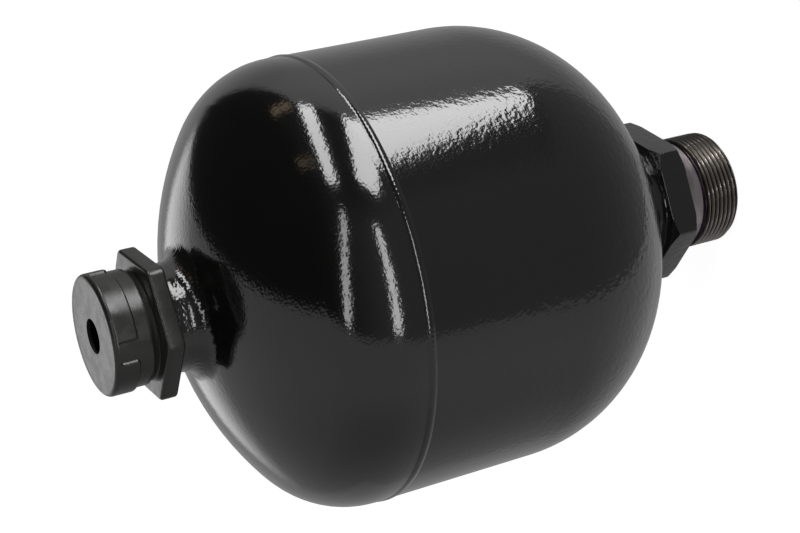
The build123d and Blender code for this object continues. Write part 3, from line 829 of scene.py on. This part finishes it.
def make_cap():
    """The moulded cap, from under its flange round the outside and over the face, and down inside."""
    turn = around(FINE_DIRECTIONS)
    node = "protective_cap"
    low, high = (corner.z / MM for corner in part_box(node))
    body, bore, hole = CAP_BODY_MM / 2, CAP_BORE_MM / 2, CAP_HOLE_MM / 2
    roof = levels(node, CAP_BORE_MM)[1]
    band_rear = high - CAP_BAND_LENGTH_MM
    flange_top = low + CAP_FLANGE_THICKNESS_MM
    groove = body - CAP_GROOVE_MM
    groove_top = flange_top + CAP_GROOVE_WIDTH_MM
    rings = [(bore + CAP_ENTRY_MM, low)]
    rings += cap_flange_rings(low, flange_top, turn - radians(CAP_TURN))
    rings += [(groove + 0.3, flange_top), (groove, flange_top + 0.3), (groove, groove_top - 0.25),
              (groove + 0.1, groove_top), (body - 0.2, groove_top), (body - 0.05, groove_top + 0.06)]
    rings += [(body, height) for height in np.linspace(groove_top + 0.25, band_rear - 0.15, 6)]
    # the grip band, in fine steps where its edges are
    rim = high - CAP_RIM_MM
    front = high - CAP_LIP_MM
    rear_end, front_start = band_rear + 0.95, front - 1.2
    band_heights = np.concatenate([np.arange(band_rear - 0.05, rear_end, CAP_FINE_STEP_MM),
                                   np.arange(rear_end, front_start, CAP_COARSE_STEP_MM),
                                   np.arange(front_start, rim, CAP_FINE_STEP_MM)])
    rings += [(body + CAP_RISE_MM * cap_band_share(height, turn, band_rear, front), height)
              for height in band_heights]
    # the rounded rim, then the dished face with a hairline knit line that runs down it from the hole
    face_radius = CAP_BAND_MM / 2 - CAP_RIM_MM
    rings += [(face_radius + CAP_RIM_MM * cosine, rim + CAP_RIM_MM * sine)
              for sine, cosine in quarter_turn(12)]
    mouth = hole + CAP_HOLE_ROUND_MM
    off_line = (turn - radians(CAP_KNIT_TURN) + pi) % (2 * pi) - pi
    for radius in np.linspace(face_radius - 0.25, mouth, 16):
        sunk = CAP_DISH_MM * (1 - (radius / face_radius) ** 2)
        line = CAP_KNIT_MM * np.exp(-(off_line * radius / CAP_KNIT_WIDTH_MM) ** 2)
        rings.append((radius, high - sunk - line))
    face = high - CAP_DISH_MM * (1 - (mouth / face_radius) ** 2)
    rings += [(hole + CAP_HOLE_ROUND_MM * (1 - sine), face - CAP_HOLE_ROUND_MM * (1 - cosine))
              for sine, cosine in quarter_turn(5, 0.2)]
    rings += [(hole, roof), (bore, roof), (bore, low + CAP_ENTRY_MM)]
    piece = turned_mesh("cap", rings, FINE_DIRECTIONS, 40.0)
    finish_piece(piece, "vessel", node, "cap_plastic", CAP_PLASTIC)


# ------------------------------------------------------------------ bladder
def dished_points(inset, stop_radius):
    """Points down the fluid end, inset from its outside, to stop_radius: a knuckle arc, then a crown arc."""
    knuckle = FLUID_KNUCKLE_MM
    reach = SHELL_MM / 2 - knuckle
    crown = (reach**2 + FLUID_DOME_MM**2 - knuckle**2) / (2 * (FLUID_DOME_MM - knuckle))
    depth = crown - FLUID_DOME_MM
    turn_over = atan2(depth, reach)
    small, large = knuckle - inset, crown - inset
    points = [(reach + small * cos(angle), FLUID_TANGENT_MM - small * sin(angle))
              for angle in np.linspace(0, turn_over, 16)]
    points += [(large * cos(angle), FLUID_TANGENT_MM - (large * sin(angle) - depth))
               for angle in np.linspace(turn_over, acos(stop_radius / large), 12)[1:]]
    return points


def make_bladder():
    """The rubber bladder spread against the wall: rim bead, thin wall, and the hub that holds the button."""
    node = "bladder"
    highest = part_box(node)[1]
    bead, bead_top = highest.x / MM, highest.z / MM
    bead_low = bead_top - BLADDER_BEAD_MM
    outer = SHELL_MM / 2 - BLADDER_INSET_MM
    pocket, stud_hole, hub = BLADDER_POCKET_MM / 2, BLADDER_STUD_HOLE_MM / 2, BLADDER_HUB_MM / 2
    pocket_top, hub_top = levels(node, BLADDER_STUD_HOLE_MM)
    down = dished_points(BLADDER_INSET_MM, pocket)
    up = dished_points(BLADDER_INSET_MM + BLADDER_WALL_MM, hub + BLADDER_WALL_MM / 2)[::-1]
    rings = [(bead, bead_top), (bead, bead_low), (outer, bead_low)]
    rings += down + [(pocket, pocket_top), (stud_hole, pocket_top), (stud_hole, hub_top), (hub, hub_top)]
    rings += up + [(outer - BLADDER_WALL_MM, bead_top)]
    piece = turned_mesh("rubber_bladder", rings, BLADDER_DIRECTIONS, 40.0)
    finish_piece(piece, "vessel", node, "rubber", RUBBER)
    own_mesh(piece)


# ------------------------------------------------------------------ floor
def make_floor():
    """A plain white floor that the vessel stands on, with its soft shadow. Only the camera sees it."""
    made, n = new_material("floor")
    shade = n.add("ShaderNodeBsdfDiffuse", Color=grey(0.5))
    white = n.add("ShaderNodeEmission", Color=grey(1.0), Strength=FLOOR_GLOW)
    both = n.tree.nodes.new("ShaderNodeAddShader")
    n.put(both.inputs[0], shade)
    n.put(both.inputs[1], white)
    n.add("ShaderNodeOutputMaterial", Surface=both)
    half = FLOOR_SIZE / 2
    data = bpy.data.meshes.new("floor")
    corners = [(-half, -half, 0), (half, -half, 0), (half, half, 0), (-half, half, 0)]
    data.from_pydata(corners, [], [(0, 1, 2, 3)])
    data.materials.append(made)
    floor = bpy.data.objects.new("floor", data)
    bpy.context.scene.collection.objects.link(floor)
    floor.location.z = CAD_BOX[0].z - FLOOR_GAP
    floor.visible_diffuse = False
    floor.visible_glossy = False
    floor.visible_transmission = False
    floor.visible_shadow = False


def dress(node, material):
    """Gives a CAD node its material."""
    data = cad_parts[node].data
    data.materials.clear()
    data.materials.append(material)


make_camera()
make_room()
make_lights()
make_floor()
PAINT = gloss_paint()
ROUGH_PAINT = rough_paint()
STEEL = phosphated_steel()
RELIEF_STEEL = relief_steel()
TURNED = turned_steel()
CAP_PLASTIC = cap_plastic()
RUBBER = moulded_rubber()
make_port()
make_fillets()
make_seam()
make_boss()
make_cap()
make_bladder()
for name in ("fluid_end_shell", "gas_end_shell"):
    dress(name, PAINT)
for name in ("charging_screw", "clamp_ring", "closing_button"):
    dress(name, TURNED)
dress("charging_screw_seal", RUBBER)

bpy.context.scene.view_settings.view_transform = "Standard"
